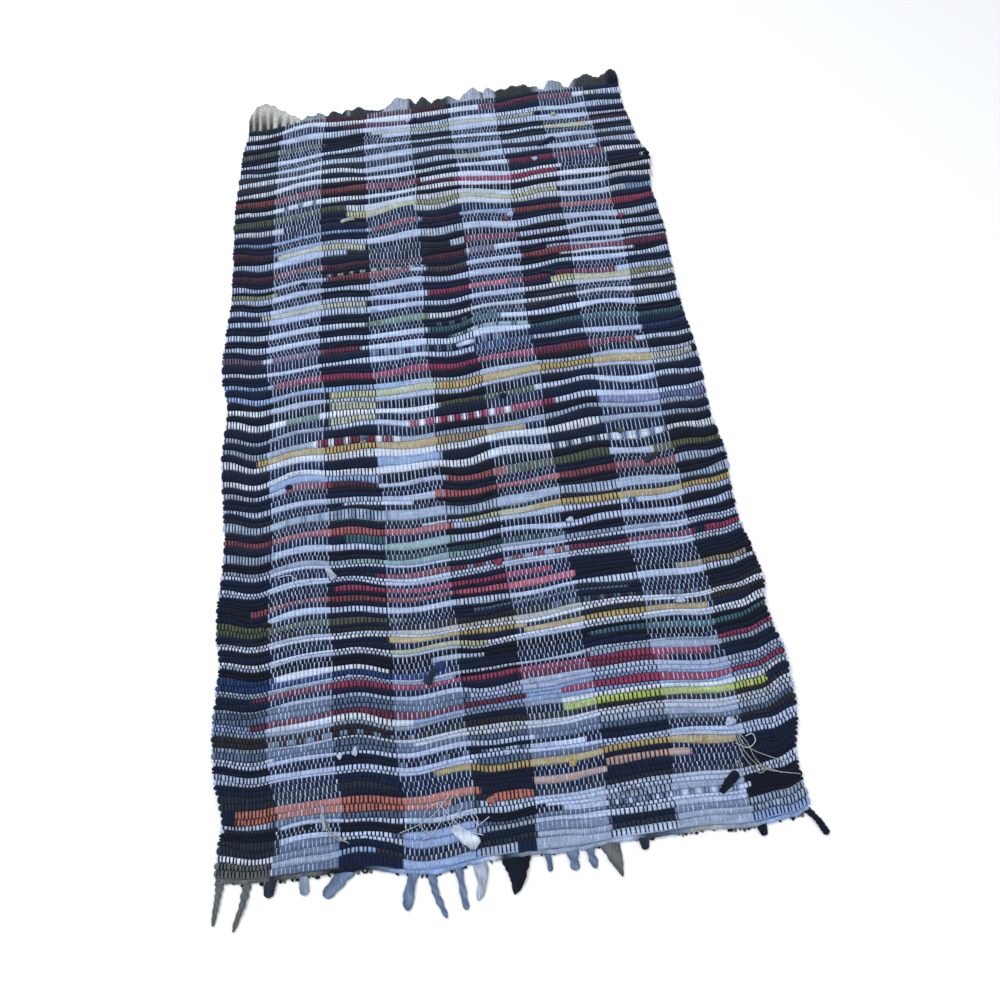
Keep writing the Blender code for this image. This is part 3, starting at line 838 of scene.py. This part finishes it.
def thin_piece(name, top, bottom, colours, material):
    """A closed sheet between two grids of points of one shape."""
    rows, columns = top.shape[:2]
    number = np.arange(rows * columns).reshape(rows, columns)
    under = number + rows * columns
    faces = []
    for grid, turned in ((number, False), (under, True)):
        quads = np.stack([grid[:-1, :-1], grid[1:, :-1], grid[1:, 1:], grid[:-1, 1:]], -1)
        quads = quads.reshape(-1, 4)
        faces += (quads[:, ::-1] if turned else quads).tolist()
    rim = np.concatenate([number[0, :-1], number[:-1, -1], number[-1, :0:-1], number[:0:-1, 0]])
    after = np.roll(rim, -1)
    faces += np.stack([rim, after, after + rows * columns, rim + rows * columns], -1).tolist()
    points = np.concatenate([top, bottom]).reshape(-1, 3)
    # The underside gets painted shade.
    colours = np.concatenate([colours, colours * UNDERSIDE_PAINTED_SHADE]).reshape(-1, 3)
    return new_piece(name, points, faces, material, colours)


def lobe_reach(x):
    """How far the heading reaches beyond the weave."""
    lobes = [reach * np.clip(1 - ((x - middle) / half) ** 2, 0, None) ** LOBE_POWER
             for middle, half, reach in LOBES]
    return HEADING_BAND + np.max(lobes, axis=0) * (1 - HEADING_BAND / LONGEST_LOBE)


def build_heading(material):
    """The gathered strip, finely pleated, that closes the far end."""
    count = int((HEADING_END - HEADING_START) / HEADING_STEP)
    x = np.linspace(HEADING_START, HEADING_END, count)
    reach = lobe_reach(x)
    lobe = (reach - HEADING_BAND) / LONGEST_LOBE
    gather = (1 - np.cos(2 * np.pi * (x - HEADING_START) / HEADING_FOLD)) / 2
    drift = wander(rng, 1, count, PLEAT_KNOTS)[0] * PLEAT_DRIFT
    pleat = np.sin(2 * np.pi * x / PLEAT + drift)
    pleat = pleat + FINER_DEEP * np.sin(2 * np.pi * x / (PLEAT * FINER_PLEAT) + drift * 2)
    ragged = 1 + RAGGED * wander(rng, 1, count, PLEAT_KNOTS)[0] + 0.02 * pleat
    across = np.linspace(0, 1, HEADING_ROWS)[:, None]
    out = CLOTH_GAP + reach * ragged * across
    free = np.clip((out - FLAT_HEM) / HEADING_BAND, 0, 1)
    lift = free * (HEADING_FOLD_RISE * gather + HEADING_LOBE_RISE * lobe)
    curl = np.sin(np.pi * across) * HEADING_CURL
    fine = (0.3 + 0.7 * free) * PLEAT_DEEP * pleat * (1 - 0.75 * across ** 2)
    thick = (HEADING_THICK + CLOTH_OVER) * (1 - 0.55 * across ** 3)
    world_x = np.broadcast_to(x + SHIFT_X, out.shape)
    sway = HEADING_SWAY * across * wander(rng, 1, count, 70)
    world_y = far_y(world_x) + out
    top = np.stack([world_x + sway, world_y, lift + curl + fine + thick], -1)
    bottom = np.stack([world_x + sway, world_y, np.maximum(lift + fine, LOWEST)], -1)
    # Painted shade: the pleats' valleys are darker, more so towards the outer edge.
    valley = np.clip(0.5 - 0.5 * pleat, 0, 1)[:, None]
    dark = PAINTED_PLEAT_SHADE * valley * (0.35 + 0.65 * across[:, :, None])
    colours = shade_at(HEADING_TONES, x) * (1 - dark)
    return thin_piece("heading_ruffle", top, bottom, colours, material)


def build_flap(material):
    """The corner that is folded back, with folds that come together at its root."""
    x = np.linspace(FLAP_TOP[0][0], FLAP_TOP[-1][0], FLAP_COLUMNS)
    up = along(FLAP_TOP, x)
    across = np.linspace(0, 1, FLAP_ROWS)[:, None]
    world_x = np.broadcast_to(x + SHIFT_X, (FLAP_ROWS, FLAP_COLUMNS))
    out = CLOTH_GAP + up * across
    world_y = far_y(world_x) + out
    valley = np.zeros(out.shape)
    for middle, lean, half, height, depth in FLAP_CREASES:
        away = (x - middle - lean * across) / (half * (1.25 - 0.75 * across))
        dip = depth * np.exp(-away ** 4) * np.clip(1.25 * (1 - across / height), 0, 1)
        valley = np.maximum(valley, dip)
    free = np.clip(out / FLAP_REACH, 0, 1)
    billow = 0.80 + FLAP_BILLOW * wander(rng, 1, FLAP_COLUMNS, 9) * (1 - 0.4 * across)
    lift = FLAP_RISE * free * billow * (1 - 0.80 * valley) * (1 - 0.35 * across ** 3)
    crease = FLAP_CREASE * wander(rng, FLAP_ROWS, FLAP_COLUMNS, 26) * (0.3 + free)
    top = np.stack([world_x, world_y, lift + crease + FLAP_THICK + CLOTH_OVER], -1)
    bottom = np.stack([world_x, world_y, np.maximum(lift + crease, LOWEST)], -1)
    rim = np.clip((across - (1 - FLAP_RIM)) / FLAP_RIM, 0, 1)
    # Painted shade in the creases, strongest near the root; the rim is darker too.
    dark = np.maximum(valley, 0.45 * rim)
    colours = srgb("flap_cloth") * (1 - FLAP_DARKENING * dark[:, :, None])
    return thin_piece("corner_fold", top, bottom, colours, material)


def rag_strip(parts, path, widths, thick, turns, colour, sides=TAIL_SIDES):
    """A rolled, creased strip of rag along a path that lies flat."""
    rings = len(path)
    ahead = np.gradient(path[:, :2], axis=0)
    ahead /= np.linalg.norm(ahead, axis=1)[:, None] + 1e-9
    across = np.column_stack([-ahead[:, 1], ahead[:, 0]])
    share = np.linspace(0, 1, rings)
    angle = around(sides)
    roll = rng.uniform(0, 2 * np.pi)
    points = []
    tones = []
    for number in range(rings):
        spin = 2 * np.pi * turns * share[number]
        fold = np.sin(2 * angle + roll + 5 * spin)
        crumple = 1 + 0.16 * fold + 0.08 * np.sin(5 * angle + 9 * share[number])
        side = np.cos(angle) * widths[number] / 2 * crumple
        up = np.sin(angle) * thick / 2 * (0.75 + 0.35 * np.abs(np.cos(angle + spin))) * crumple
        if 0 < number < rings - 1:
            side = side * (1 + rng.uniform(-0.07, 0.07))
        flat = path[number, :2] + np.outer(side, across[number])
        points.append(np.column_stack([flat, path[number, 2] + up]))
        # Painted shade: one side of each fold is darker.
        tones.append(1 - STRIP_PAINTED_SHADE * (0.5 + 0.5 * fold))
    faces, _ = strip_faces(rings, sides)
    tones = np.concatenate(tones)[:, None] * colour
    parts.add(np.vstack(points), faces, tones)


def knot(parts, place, size, turn, colour):
    """A rounded, dented knot of rag."""
    up = np.linspace(0.04, 0.96, KNOT_RINGS) * np.pi
    angle = around(KNOT_SIDES)
    dents = 1 + KNOT_DENTS * np.sin(3 * angle + rng.uniform(0, 6) + 2 * up[:, None])
    dents = dents + KNOT_SMALL_DENTS * np.sin(2 * angle - 4 * up[:, None])
    x = np.sin(up)[:, None] * np.cos(angle) * size[0] / 2 * dents
    y = np.sin(up)[:, None] * np.sin(angle) * size[1] / 2 * dents
    z = np.cos(up)[:, None] * size[2] / 2 * np.ones(KNOT_SIDES)
    cos, sin = math.cos(math.radians(turn)), math.sin(math.radians(turn))
    points = np.stack([place[0] + x * cos - y * sin, place[1] + x * sin + y * cos,
                       place[2] + z], -1)
    faces, _ = strip_faces(KNOT_RINGS, KNOT_SIDES)
    faces = [face[::-1] for face in faces]
    # Painted shade in the dents and painted light on the bulges.
    tones = np.clip(0.62 + 0.42 * (dents - 0.84) / 0.4, 0.5, 1.05).reshape(-1, 1)
    parts.add(points, faces, tones * colour)


def smooth_path(corners, count):
    """Points along a soft curve through the corners."""
    held = np.vstack([2 * corners[0] - corners[1], corners, 2 * corners[-1] - corners[-2]])
    places = np.linspace(0, len(corners) - 1.001, count)
    points = []
    for place in places:
        number = int(place)
        t = place - number
        a, b, c, d = held[number:number + 4]
        points.append(0.5 * (2 * b + (c - a) * t + (2 * a - 5 * b + 4 * c - d) * t ** 2
                             + (3 * b - a - 3 * c + d) * t ** 3))
    return np.array(points)


def build_tails(material):
    """Every loose end of the near edge, the turned edge that they hang from and its nubs."""
    parts = Gathered()
    for *sizes, turns, name in TAILS:
        root, lean, length, root_wide, tip_wide, bow = np.array(sizes) / 1000
        share = np.linspace(0, 1, TAIL_STEPS)
        x = root + lean * share + 4 * bow * share * (1 - share) + SHIFT_X
        start = float(near_y(root + SHIFT_X)) + TAIL_HELD
        y = start - (length + 0.0015) * share
        wiggle = TAIL_WIGGLE * wander(rng, 1, TAIL_STEPS, 5)[0] * share
        z = TAIL_THICK / 2 + TAIL_LIFT + TAIL_ARCH * np.sin(np.pi * share) ** 2
        widths = root_wide + (tip_wide - root_wide) * share
        widths = widths * (1 + 0.10 * wander(rng, 1, TAIL_STEPS, 7)[0])
        widths[-1] *= 0.35
        widths[-2] *= 0.80
        path = np.column_stack([x + wiggle, y, z])
        rag_strip(parts, path, widths, TAIL_THICK, turns, srgb(name))
    x = np.linspace(LEFT_SIDE[0][1] + 0.002, RIGHT_SIDE[0][1] - 0.003, EDGE_STEPS)
    bumps = wander(rng, 1, len(x), 90)[0]
    y = near_y(x + SHIFT_X) - EDGE_OUT - 0.0008 * bumps
    z = EDGE_HIGH + 0.0004 * bumps
    angle = around(EDGE_SIDES)
    radius = EDGE_ROUND * (1 + EDGE_ROUGH * wander(rng, EDGE_SIDES, len(x), 110).T)
    ring_y = y[:, None] + np.cos(angle) * radius * 1.15
    ring_z = np.maximum(z[:, None] + np.sin(angle) * radius, LOWEST)
    ring_x = np.broadcast_to((x + SHIFT_X)[:, None], ring_y.shape)
    faces, _ = strip_faces(len(x), EDGE_SIDES)
    # Painted light and shade: the edge is lighter where its bumps stand out and up, darker where
    # they sink.
    tones = shade_at(EDGE_TONES, x) * (0.85 + 0.2 * bumps[:, None])
    parts.add(np.stack([ring_x, ring_y, ring_z], -1), faces, np.repeat(tones, EDGE_SIDES, 0))
    for _ in range(NUBS):
        x = rng.uniform(*NUB_SPAN)
        name = "ink" if rng.random() < 0.7 else "ash"
        size = rng.uniform(*NUB_SIZES, 2)
        place = (x + SHIFT_X, float(near_y(x + SHIFT_X)) - rng.uniform(*NUB_OUT), 0.0020)
        knot(parts, place, (size[0], size[1] * 1.5, NUB_HIGH), rng.uniform(0, 180), srgb(name))
    return parts.piece("rag_tails", material)


def build_knots(material):
    """Knots and short rag ends that stand out of the weave, at strip ends and elsewhere."""
    parts = Gathered()
    for *sizes, turn, name in KNOTS:
        x, y, long, wide, high = np.array(sizes) / 1000
        place = np.array([x + SHIFT_X, y + NEAR_Y])
        z = float(cloth_top(*place)) + high * 0.10
        knot(parts, (*place, z), (long, wide, high), turn, srgb(name))
    for *sizes, name in TABS:
        start_x, start_y, stop_x, stop_y, start_wide, stop_wide, high = np.array(sizes) / 1000
        share = np.linspace(0, 1, TAB_STEPS)
        x = start_x + (stop_x - start_x) * share + SHIFT_X
        y = start_y + (stop_y - start_y) * share + NEAR_Y
        z = cloth_top(x, y) + high * (0.12 + 0.22 * np.sin(np.pi * share))
        widths = start_wide + (stop_wide - start_wide) * share
        widths[0] *= 0.5
        widths[-1] *= 0.75
        rag_strip(parts, np.column_stack([x, y, z]), widths, high * 0.8, 0.2, srgb(name))
    for _ in range(JOINS):
        pick = rng.integers(2, PICKS - 2)
        end = rng.integers(6, ENDS - 6)
        size = rng.uniform(*JOIN_SIZES)
        place = (end_x[pick, end], row_y[pick, end], row_z[pick, end] + RAG_FULL * 0.75)
        shape = (size * 1.35, min(size, 2.1 * row_half[pick, end]), size * 0.62)
        knot(parts, place, shape, rng.uniform(-30, 30), rag_colour[pick, end])
    return parts.piece("knots_and_tabs", material)


def build_threads(material):
    """Loose threads that lie across the weave."""
    parts = Gathered()
    for microns, name, corners in THREADS:
        radius = microns / 1000000
        path = smooth_path(np.array(corners) / 1000, THREAD_STEPS)
        x = path[:, 0] + SHIFT_X
        y = path[:, 1] + NEAR_Y
        z = cloth_top(x, y) + 0.0008 + 0.0022 * np.abs(wander(rng, 1, len(x), 7)[0])
        points = np.column_stack([x, y, z])
        widths = np.full(THREAD_STEPS, radius * 2)
        rag_strip(parts, points, widths, radius * 2, 0, srgb(name), THREAD_SIDES)
    return parts.piece("stray_threads", material)


# ---- building
rag_cloth = jersey_material("rag_jersey", (16, 430, 430))
warp_dark_yarn = yarn_material("warp_dark_cotton", "ink")
warp_white_yarn = yarn_material("warp_white_cotton", "white")

zone_edges = [PICKS * number // len(ZONES) for number in range(len(ZONES) + 1)]
zone_pieces = [
    build_rags(zone, first, last, rag_cloth)
    for zone, first, last in zip(ZONES, zone_edges, zone_edges[1:])
]
warps = [
    build_warps("warp_dark", True, warp_dark_yarn),
    build_warps("warp_white", False, warp_white_yarn),
]

knit_cloth = jersey_material("gathered_jersey", (260, 260, 120))
tail_cloth = jersey_material("rag_end_jersey", (420, 60, 420))
heading = build_heading(knit_cloth)
flap = build_flap(knit_cloth)
tails = build_tails(tail_cloth)
knots = build_knots(tail_cloth)
threads = build_threads(tail_cloth)

for piece in zone_pieces + warps + [knots, threads]:
    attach(piece, "root")
for piece, name in ((heading, "gathered_knit"), (flap, "folded_knit"), (tails, "rag_ends")):
    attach(piece, "root")
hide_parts("woven_field")
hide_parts("far_heading")
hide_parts("corner_flap")
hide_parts("near_fringe")


# ---- floor, light and camera
FLOOR_HALF = 6.0


def plain_floor():
    mesh = bpy.data.meshes.new("floor")
    corners = [(-FLOOR_HALF, -FLOOR_HALF, 0), (FLOOR_HALF, -FLOOR_HALF, 0),
               (FLOOR_HALF, FLOOR_HALF, 0), (-FLOOR_HALF, FLOOR_HALF, 0)]
    mesh.from_pydata(corners, [], [(0, 1, 2, 3)])
    floor = add_object("floor", mesh)
    mesh.materials.append(
        new_material("floor_plain", Base_Color=(0.86, 0.86, 0.86, 1), Roughness=0.9)[0])


def area_light(name, place, size, power, colour):
    """A round lamp that faces the rug's middle."""
    light = bpy.data.lights.new(name, "AREA")
    light.shape = "DISK"
    light.size = size
    light.energy = power
    light.color = colour
    lamp = add_object(name, light)
    lamp.location = place
    lamp.rotation_mode = "QUATERNION"
    lamp.rotation_quaternion = (-Vector(place)).to_track_quat("-Z", "Y")


def soft_world():
    world = bpy.data.worlds.new("studio")
    world.use_nodes = True
    set_inputs(world.node_tree.nodes["Background"], Color=(0.94, 0.96, 1.0, 1), Strength=0.75)
    bpy.context.scene.world = world


CAMERA_PLACE = (-0.030, -0.835, 1.207)  # over the near end, before the frame's own shift
CAMERA_AHEAD = (0.0475, 0.458, -0.8877)
CAMERA_UP = (0.094, 0.882, 0.460)
CAMERA_LENS = 30.6
CAMERA_SENSOR = 36.0
DESIGN_NEAR_Y = -0.7175  # the near line that CAMERA_PLACE is measured with


def make_camera():
    data = bpy.data.cameras.new("camera")
    data.lens = CAMERA_LENS
    data.sensor_width = CAMERA_SENSOR
    camera = add_object("camera", data)
    back = -Vector(CAMERA_AHEAD).normalized()
    right = Vector(CAMERA_UP).cross(back).normalized()
    up = back.cross(right)
    turn = Matrix((right, up, back)).transposed()
    moved = Vector((SHIFT_X, NEAR_Y - DESIGN_NEAR_Y, 0))
    camera.matrix_world = Matrix.Translation(Vector(CAMERA_PLACE) + moved) @ turn.to_4x4()
    bpy.context.scene.camera = camera


plain_floor()
soft_world()
area_light("key", (-1.2, 0.6, 2.6), 1.6, 54, (0.96, 0.99, 1.0))
area_light("fill", (1.6, -1.4, 2.2), 2.2, 18, (0.93, 0.96, 1.0))
make_camera()
bpy.context.scene.view_settings.view_transform = "Standard"
